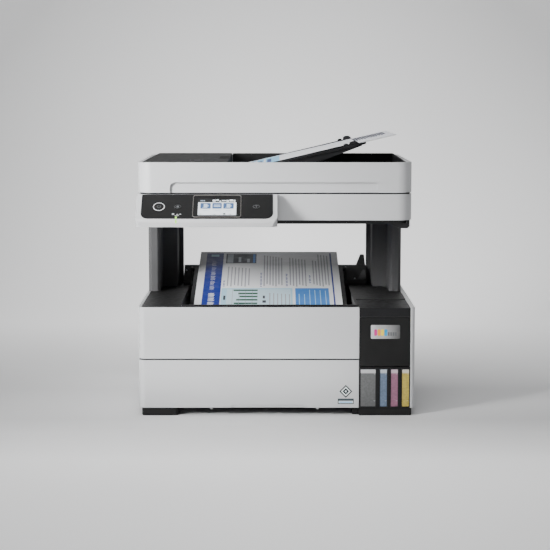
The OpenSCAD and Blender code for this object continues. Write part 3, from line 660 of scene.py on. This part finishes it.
SILVER_PAINTED_REFLECTION = silver_with_painted_reflection()
prisms("ink_badge", "ink_cover", "gloss_black", SILVER_PAINTED_REFLECTION, ON_FRONT,
       [(round_rect(129.2, 105.6, 168.8, 124.4, 1.6), 0.0, 0.5)], 0.3, 3)
INK_DOTS = {"magenta": (0.62, 0.03, 0.25), "orange": (0.85, 0.35, 0.02),
            "yellow": (0.85, 0.65, 0.04), "cyan": (0.0, 0.30, 0.62)}
for i, (tone, color) in enumerate(INK_DOTS.items()):
    look = plastic("dot_" + tone, color, rough=0.3, tone=0.05, grain=0.05)
    prisms("badge_dot_" + tone, "ink_cover", "gloss_black", look, ON_FRONT,
           [(round_rect(133.6 + 4.6 * i, 109.6, 137.6 + 4.6 * i, 118.6, 1.8), 0.5, 0.62)], 0.04)
prisms("badge_bars", "ink_cover", "gloss_black", MARK, ON_FRONT,
       [(round_rect(152.2 + 3.2 * i, 109.6, 154.4 + 3.2 * i, 114.6, 0.3), 0.5, 0.56)
        for i in range(4)], 0)
# grip edge along the top of the ink cover
prisms("ink_cover_grip", "ink_cover", "gloss_black", BLACK, ON_FRONT,
       [(round_rect(138, 131.6, 158, 133.8, 1.0), -0.2, 0.5)], 0.3)
FILLER_DEPTH = 40
for ink, (x0, x1) in WINDOWS.items():
    xc = (x0 + x1) / 2
    slot, look = ("black_plastic", MARK) if ink == "black" else (
        "cap_" + ink, SLOT_LOOKS["cap_" + ink])
    ring("filler_ring_" + ink, "base", look, ON_TOP,
         ring_points(xc, FILLER_DEPTH, 6.4, 32), ring_points(xc, FILLER_DEPTH, 5.2, 32),
         66.6, 67.1, 0.12)

# ---------------------------------------------------------------- base covers
prisms("front_liner", "base", "black_plastic", BLACK, ON_TOP,
       [(round_rect(-176, 2.7, 112.6, 4.2, 0.5), 147.6, 149.1),
        (round_rect(-127, 3.0, 112.6, 6.2, 0.8), 147.8, 151.5)], 0.3)


def corner_arc(r):
    """Stretch round the body's front left corner, from the side to the front."""
    return [(-176 + r * math.cos(math.radians(a)), 10 + r * math.sin(math.radians(a)))
            for a in range(180, 271, 10)]


# black strip behind the seam of front cover and cassette: painted shade, darkening the gap
prisms("front_seam_painted_shade", "base", "black_plastic", BLACK, ON_TOP,
       [(corner_arc(9.2) + [(113.0, 0.8), (113.0, 2.8)] + corner_arc(7.2)[::-1],
         76.35, 77.95)], 0)
prisms("tank_top_step", "base", "black_plastic", DECK, ON_FRONT,
       [(round_rect(114.0, 135.3, 182.4, 136.3, 0.4), 0.0, 0.35)], 0.12)
for side_plane, name in ((ON_LEFT, "left"), (ON_RIGHT, "right")):
    s = -1 if name == "left" else 1
    prisms(name + "_side_grip", "base", "white_plastic", DECK, side_plane,
           [(round_rect(min(s * 120, s * 190), 16, max(s * 120, s * 190), 28, 5), 0.0, 0.12)], 0.1)
    prisms(name + "_side_groove", "base", "white_plastic", MARK_LIGHT, side_plane,
           [(round_rect(min(s * 14.6, s * 300), 76.4, max(s * 14.6, s * 300), 77.3, 0.3),
             0.0, 0.06)], 0)
prisms("cassette_wheels", "cassette", "white_plastic", MATTE_WHITE, ON_LEFT,
       [(ring_points(-6.0, 9.4, 2.0, 24), -u - 3.0, -u) for u in (97.0, 242.0)], 0.3)

STICKER = paper("sticker_white", (0.78, 0.82, 0.82))
STICKER_LINE = paper("sticker_line", (0.004, 0.012, 0.016))
prisms("front_sticker", "cassette", "paper", STICKER, ON_FRONT,
       [([(95.6, 24.4), (104.4, 33.3), (95.6, 42.2), (86.8, 33.3)], 0.0, 0.05),
        (round_rect(84.8, 16.0, 106.4, 23.4, 0.4), 0.0, 0.05)], 0)


def sticker_outline(bm):
    add_tube(bm, [(95.6, 24.4), (104.4, 33.3), (95.6, 42.2), (86.8, 33.3)],
             [(95.6, 26.6), (102.2, 33.3), (95.6, 40.0), (89.0, 33.3)], 0.05, 0.09, ON_FRONT)
    add_tube(bm, [(95.6, 28.8), (100.0, 33.3), (95.6, 37.8), (91.2, 33.3)],
             [(95.6, 31.6), (97.2, 33.3), (95.6, 35.0), (94.0, 33.3)], 0.05, 0.09, ON_FRONT)
    add_tube(bm, round_rect(84.8, 16.0, 106.4, 23.4, 0), round_rect(85.8, 17.0, 105.4, 22.4, 0),
             0.05, 0.09, ON_FRONT)


make("front_sticker_lines", "cassette", STICKER_LINE, sticker_outline, 0, smooth=False)
print_on("front_sticker_bar", "cassette", "paper", paper("sticker_grey", (0.05, 0.07, 0.08)),
         ON_FRONT, [(85.8, 20.2, 105.4, 22.4)], 0.05)
print_on("front_sticker_blue", "cassette", "paper", paper("sticker_blue", (0.30, 0.55, 0.75)),
         ON_FRONT, [(86.6, 17.4, 104.6, 19.4)], 0.05)

# underside: screws and label
for i, (x, y) in enumerate(((-150, 60), (60, 60), (-150, 240), (60, 240), (150, 200))):
    ring("floor_screw_%d" % i, "base", STEEL, ON_TOP,
         ring_points(x, y, 3.4, 28), ring_points(x, y, 1.5, 28), 10.1, 10.75, 0.15)
prisms("floor_label", "base", "paper", paper("label_silver", (0.42, 0.43, 0.44)), ON_TOP,
       [(round_rect(-60, 120, 30, 170, 3), 10.55, 10.72)], 0)

# back: sockets, screws and a plain label
back = ("base", "dark_plastic")
ring("usb_shell", "base", STEEL, ON_BACK,
     round_rect(-140.5, 60, -128.5, 71, 1.2), round_rect(-139.3, 61.2, -129.7, 69.8, 0.6),
     -4.0, 0.35, 0.12)
prisms("usb_tongue", *back, BLACK, ON_BACK,
       [(round_rect(-137, 63.6, -132, 67.4, 0.4), -2.0, -0.6),
        (round_rect(-139.4, 61.1, -129.6, 69.9, 0.4), -3.8, -2.0)], 0.1)

ring("lan_shell", "base", STEEL, ON_BACK,
     round_rect(-164, 56, -146, 71, 1.2), round_rect(-162.4, 57.6, -147.6, 69.4, 0.6),
     -4.0, 0.35, 0.12)
prisms("lan_well", *back, BLACK, ON_BACK,
       [(round_rect(-162.5, 57.5, -147.5, 69.5, 0.4), -3.6, -2.2)], 0.1)
for i, (u, v) in enumerate(((176, 138), (-178, 138), (176, 72), (-100, 76), (-178, 20), (0, 138))):
    ring("back_screw_%d" % i, "base", STEEL, ON_BACK,
         ring_points(u, v, 3.2, 28), ring_points(u, v, 1.4, 28), -0.1, 0.5, 0.2)
prisms("back_label", "base", "paper", paper("label_grey", (0.36, 0.37, 0.38)), ON_BACK,
       [(round_rect(-60, 84, 30, 128, 2.5), 0.0, 0.1)], 0)
prisms("back_panel_lines", *back, BLACK, ON_BACK,
       [(round_rect(-108, 80, -107, 143, 0.3), 0.0, 0.08),
        (round_rect(108, 80, 109, 143, 0.3), 0.0, 0.08),
        (round_rect(-107, 79.2, 108.6, 80.2, 0.3), 0.0, 0.08)], 0)

# output well's floor ribs, and on the hump behind it two pins and the rear fin's gusset
prisms("well_floor_ribs", "base", "black_plastic", DECK, ON_TOP,
       [(round_rect(-122 + 22 * i, 18, -120.4 + 22 * i, 256, 0.7), 109.9, 111.0)
        for i in range(11)], 0.25)
HUMP_C, HUMP_S = 0.768, 0.64
ON_HUMP = basis((0, 262, 156), (1, 0, 0), (0, HUMP_C, HUMP_S), (0, -HUMP_S, HUMP_C))
for x, v, name in ((-134.5, 20.0, "left"), (119.8, 3.0, "right")):
    prisms("hump_pin_" + name, "base", "black_plastic", MARK_LIGHT, ON_HUMP,
           [(ring_points(x, v, 1.5, 24), -0.2, 0.5)], 0.15)
prisms("fin_gusset", "base", "black_plastic", COLUMN, ON_HUMP,
       [([(123.5, 1.5), (136.4, 1.5), (136.4, 19.0), (132.6, 22.0)], -0.2, 0.7)], 0.25)

# ---------------------------------------------------------------- printed sheets
# the sheet's print carries the same painted shade, darker towards the far end
INK_NAVY = paper("print_navy", (0.008, 0.028, 0.27), painted_shade=SHEET_PAINTED_SHADE)
INK_BLUE = paper("print_blue", (0.06, 0.25, 0.68), painted_shade=SHEET_PAINTED_SHADE)
INK_SKY = paper("print_sky", (0.46, 0.74, 0.90), painted_shade=SHEET_PAINTED_SHADE)
INK_GREEN = paper("print_green", (0.012, 0.10, 0.05), painted_shade=SHEET_PAINTED_SHADE)
INK_GREY = paper("print_grey", (0.42, 0.42, 0.46), painted_shade=SHEET_PAINTED_SHADE)
INK_DARK = paper("print_dark", (0.03, 0.04, 0.06), painted_shade=SHEET_PAINTED_SHADE)
INK_BLUSH = paper("print_blush", (0.45, 0.5, 0.55), painted_shade=SHEET_PAINTED_SHADE)
DOC_NAVY = paper("doc_navy", (0.008, 0.03, 0.22))
DOC_BLUE = paper("doc_blue", (0.01, 0.05, 0.2))
DOC_SKY = paper("doc_sky", (0.25, 0.58, 0.82))
DOC_DARK = paper("doc_dark", (0.015, 0.02, 0.05))


def uneven(k):
    """A repeatable number from 0 to 1 for the lengths of printed lines."""
    return ((k * 73 + 29) % 101) / 101.0


def column(x0, x1, s0, s1, lines, thick, key):
    """Lines of print that run up the sheet, each a different length."""
    pitch = (x1 - x0) / max(1, lines - 1)
    return [(x0 + pitch * i - thick / 2, s0 + (s1 - s0) * 0.08 * uneven(key + i),
             x0 + pitch * i + thick / 2, s1 - (s1 - s0) * 0.22 * uneven(key + 7 * i))
            for i in range(lines)]


def strokes(x0, x1, s0, s1, pitch, weight, key):
    """Short strokes that read as a heading from afar, without being letters."""
    out, s, k = [], s0, key
    while s + weight < s1:
        drop = 0.3 * (x1 - x0) * uneven(k)
        if k % 6 != 5:
            out.append((x0, s, x1 - drop, s + weight))
        s += pitch
        k += 1
    return out


INK_UP = 0.10
sheet = ("printed_sheet", "paper")
print_on("sheet_band", *sheet, INK_NAVY, ON_SHEET, [(-94.8, 12, -69.2, 289)], INK_UP)
print_on("sheet_band_bold", *sheet, SHEET_PAPER, ON_SHEET,
         strokes(-86.5, -76.5, 20, 104, 3.1, 1.6, 2), INK_UP + 0.03)
print_on("sheet_band_thin", *sheet, SHEET_PAPER, ON_SHEET,
         strokes(-85.5, -78.5, 116, 252, 3.6, 0.9, 5), INK_UP + 0.03)
print_on("sheet_band_mark", *sheet, INK_SKY, ON_SHEET, [(-88, 272, -76, 283)], INK_UP + 0.03)
print_on("sheet_stripe", *sheet, INK_NAVY, ON_SHEET, [(92.9, 12, 95.2, 289)], INK_UP)
print_on("sheet_photo", *sheet, INK_DARK, ON_SHEET, [(-65, 240, -19, 286)], INK_UP)
print_on("sheet_photo_shapes", *sheet, INK_BLUSH, ON_SHEET,
         [(-63, 243, -54, 284), (-46, 246, -42, 270), (-33, 244, -29, 262)], INK_UP + 0.03)
print_on("sheet_photo_sky", *sheet, INK_BLUE, ON_SHEET, [(-24, 243, -20.5, 284)], INK_UP + 0.03)
text = (column(-60.0, -29.0, 131, 234, 7, 1.8, 3)
        + column(-6.5, 19.5, 131, 287, 7, 1.8, 11)
        + column(32.0, 54.7, 131, 287, 6, 1.8, 17)
        + column(66.5, 88.4, 131, 284, 6, 1.8, 23))
print_on("sheet_text", *sheet, INK_GREY, ON_SHEET, text, INK_UP)
heads = (strokes(-66.6, -63.6, 131, 160, 2.6, 1.3, 4)
         + strokes(-12.4, -9.2, 131, 196, 2.6, 1.3, 9)
         + strokes(25.2, 28.4, 134, 190, 2.6, 1.3, 13)
         + strokes(59.4, 62.4, 148, 188, 2.6, 1.3, 3))
print_on("sheet_heads", *sheet, INK_NAVY, ON_SHEET, heads, INK_UP)
print_on("sheet_chart_box", *sheet, INK_SKY, ON_SHEET, [(-67.8, 18, 34.4, 124.5)], INK_UP)
print_on("sheet_chart_pale", *sheet,
         paper("print_pale", (0.66, 0.84, 0.93), painted_shade=SHEET_PAINTED_SHADE), ON_SHEET,
         [(-60, 24, 32, 120)], INK_UP + 0.02)
print_on("sheet_chart_bars", *sheet, INK_GREEN, ON_SHEET,
         [(-50.5, 112.0, -15.5, 118.5), (-43.5, 98, -15.5, 104.5), (-41.5, 85, -15.5, 91.5),
          (-46.0, 71, -15.5, 77.5), (-49.0, 56, -15.5, 62.5), (-40, 41, -15.5, 47.5)],
         INK_UP + 0.05)
print_on("sheet_chart_axis", *sheet, INK_GREY, ON_SHEET,
         [(-52 + 9.5 * i, 34, -51.4 + 9.5 * i, 120) for i in range(4)], INK_UP + 0.05)
print_on("sheet_chart_text", *sheet, INK_GREY, ON_SHEET,
         column(2.0, 30.0, 26, 118, 6, 1.2, 31), INK_UP + 0.05)
print_on("sheet_chart_notes", *sheet, INK_DARK, ON_SHEET,
         [(-8.5, 62, -3.5, 72), (-8.0, 80, -5.0, 92), (-64.5, 74, -61.5, 92)], INK_UP + 0.05)
print_on("sheet_blue_box", *sheet, INK_BLUE, ON_SHEET, [(38.6, 18, 87.0, 124.5)], INK_UP)
print_on("sheet_blue_text", *sheet, INK_SKY, ON_SHEET,
         column(44.0, 82.0, 26, 118, 6, 1.1, 5), INK_UP + 0.04)

docs = ("document_sheets", "paper")
DOC_UP = 2.92
print_on("doc_far_stripe", *docs, DOC_NAVY, ON_ADF, [(66, 250.5, 206, 253)], DOC_UP)
print_on("doc_heading", *docs, DOC_DARK, ON_ADF,
         [(213 + 3.6 * i, 138 + 10 * uneven(i), 216.0 + 3.6 * i, 240) for i in range(13)], DOC_UP)
print_on("doc_subhead", *docs, DOC_NAVY, ON_ADF,
         [(212 + 4.0 * i, 126, 213.6 + 4.0 * i, 138 - 5 * uneven(i)) for i in range(11)], DOC_UP)
print_on("doc_blue_block", *docs, DOC_SKY, ON_ADF, [(-26, 56, 104, 236)], DOC_UP)
print_on("doc_blue_marks", *docs, DOC_BLUE, ON_ADF,
         [(8 + 13 * i, 70 + 20 * uneven(i), 14 + 13 * i, 226 - 60 * uneven(i + 4))
          for i in range(7)], DOC_UP + 0.03)
print_on("doc_white_marks", *docs, PAPER, ON_ADF,
         [(16 + 13 * i, 90 + 30 * uneven(i + 2), 19 + 13 * i, 216) for i in range(6)],
         DOC_UP + 0.03)

# ---------------------------------------------------------------- lights, floor and backdrop
# metres: the pool's centre height and radius, and its strength at the centre and the edge
POOL_Z, POOL_R, POOL_PEAK, POOL_EDGE = 0.12, 0.75, 1.15, 0.24
# depths over which the pool behind sets in, and the one ahead sets in and ends; its strength
POOL_BEHIND, POOL_AHEAD_START, POOL_AHEAD_END = (0.06, 0.75), (-1.5, -0.5), (-0.42, -0.17)
POOL_AHEAD = 0.70
# where the floor starts to sweep up, and the sweep's radius and steps
SWEEP_Y, SWEEP_R, SWEEP_STEPS = 0.7, 0.9, 16
STAGE_FRONT, STAGE_SIDE, STAGE_HEIGHT = -4.0, 7.0, 5.0


def stage_paper():
    """Seamless grey paper with a soft pool of light behind the object and a weaker one ahead."""
    m, nt, b = new_material("studio_paper")
    nt.links.new(two_tone(nt, noise(nt, 1.2, 2.0), (0.80, 0.80, 0.80), (0.82, 0.82, 0.82)),
                 b.inputs["Base Color"])
    b.inputs["Roughness"].default_value = 0.9
    b.inputs["Specular IOR Level"].default_value = 0.1
    y = along(nt, "Y")
    rise = math_node(nt, "SUBTRACT", along(nt, "Z"), POOL_Z)
    reach = math_node(nt, "SQRT", math_node(
        nt, "ADD", math_node(nt, "POWER", along(nt, "X"), 2.0),
        math_node(nt, "POWER", rise, 2.0)))
    pool = remap(nt, reach, POOL_PEAK, POOL_EDGE, 0.0, POOL_R)
    behind = remap(nt, y, 0.0, 1.0, *POOL_BEHIND)
    ahead = math_node(nt, "MULTIPLY", remap(nt, y, POOL_AHEAD, 0.0, *POOL_AHEAD_END),
                      remap(nt, y, 0.0, 1.0, *POOL_AHEAD_START))
    nt.links.new(math_node(nt, "MULTIPLY", pool, math_node(nt, "ADD", behind, ahead)),
                 b.inputs["Emission Strength"])
    b.inputs["Emission Color"].default_value = (1.0, 1.0, 1.0, 1)
    return m


def cyclorama():
    """Floor that sweeps up into a backdrop, as one sheet."""
    profile = [(STAGE_FRONT, 0.0), (SWEEP_Y, 0.0)]
    for i in range(1, SWEEP_STEPS + 1):
        a = math.radians(90 * i / SWEEP_STEPS)
        profile.append((SWEEP_Y + SWEEP_R * math.sin(a), SWEEP_R - SWEEP_R * math.cos(a)))
    profile.append((SWEEP_Y + SWEEP_R, STAGE_HEIGHT))
    bm = bmesh.new()
    rows = [[bm.verts.new((x, y, z)) for x in (-STAGE_SIDE, STAGE_SIDE)] for y, z in profile]
    for a, b in zip(rows, rows[1:]):
        bm.faces.new((a[0], a[1], b[1], b[0]))
    mesh = bpy.data.meshes.new("studio_floor")
    bm.to_mesh(mesh)
    bm.free()
    mesh.materials.append(stage_paper())
    for poly in mesh.polygons:
        poly.use_smooth = True
    floor = bpy.data.objects.new("studio_floor", mesh)
    bpy.context.scene.collection.objects.link(floor)


cyclorama()


def add_light(name, kind, place, aim, power, **settings):
    data = bpy.data.lights.new(name, kind)
    data.energy = power
    for key, value in settings.items():
        setattr(data, key, value)
    light = bpy.data.objects.new(name, data)
    bpy.context.scene.collection.objects.link(light)
    light.location = place
    light.rotation_euler = (Vector(aim) - Vector(place)).to_track_quat("-Z", "Y").to_euler()
    return light


add_light("front_soft", "AREA", (-0.4, -1.6, 2.1), (0, 0, 0.1), 17, size=1.3)
add_light("left_strip", "AREA", (-0.80, -0.76, 0.55), (-0.17, -0.12, 0.30), 2.3, size=0.45,
          spread=math.radians(40))
low_bounce = add_light("low_bounce", "AREA", (-0.06, -0.34, 0.004), (-0.06, -0.14, 0.062),
                       0.022, shape="RECTANGLE", size=0.34, size_y=0.02,
                       spread=math.radians(30))
low_bounce.visible_camera = False

world = bpy.data.worlds.new("studio_world")
bpy.context.scene.world = world
world.use_nodes = True
world.node_tree.nodes["Background"].inputs["Color"].default_value = (0.97, 0.98, 1.0, 1)
world.node_tree.nodes["Background"].inputs["Strength"].default_value = 0.35
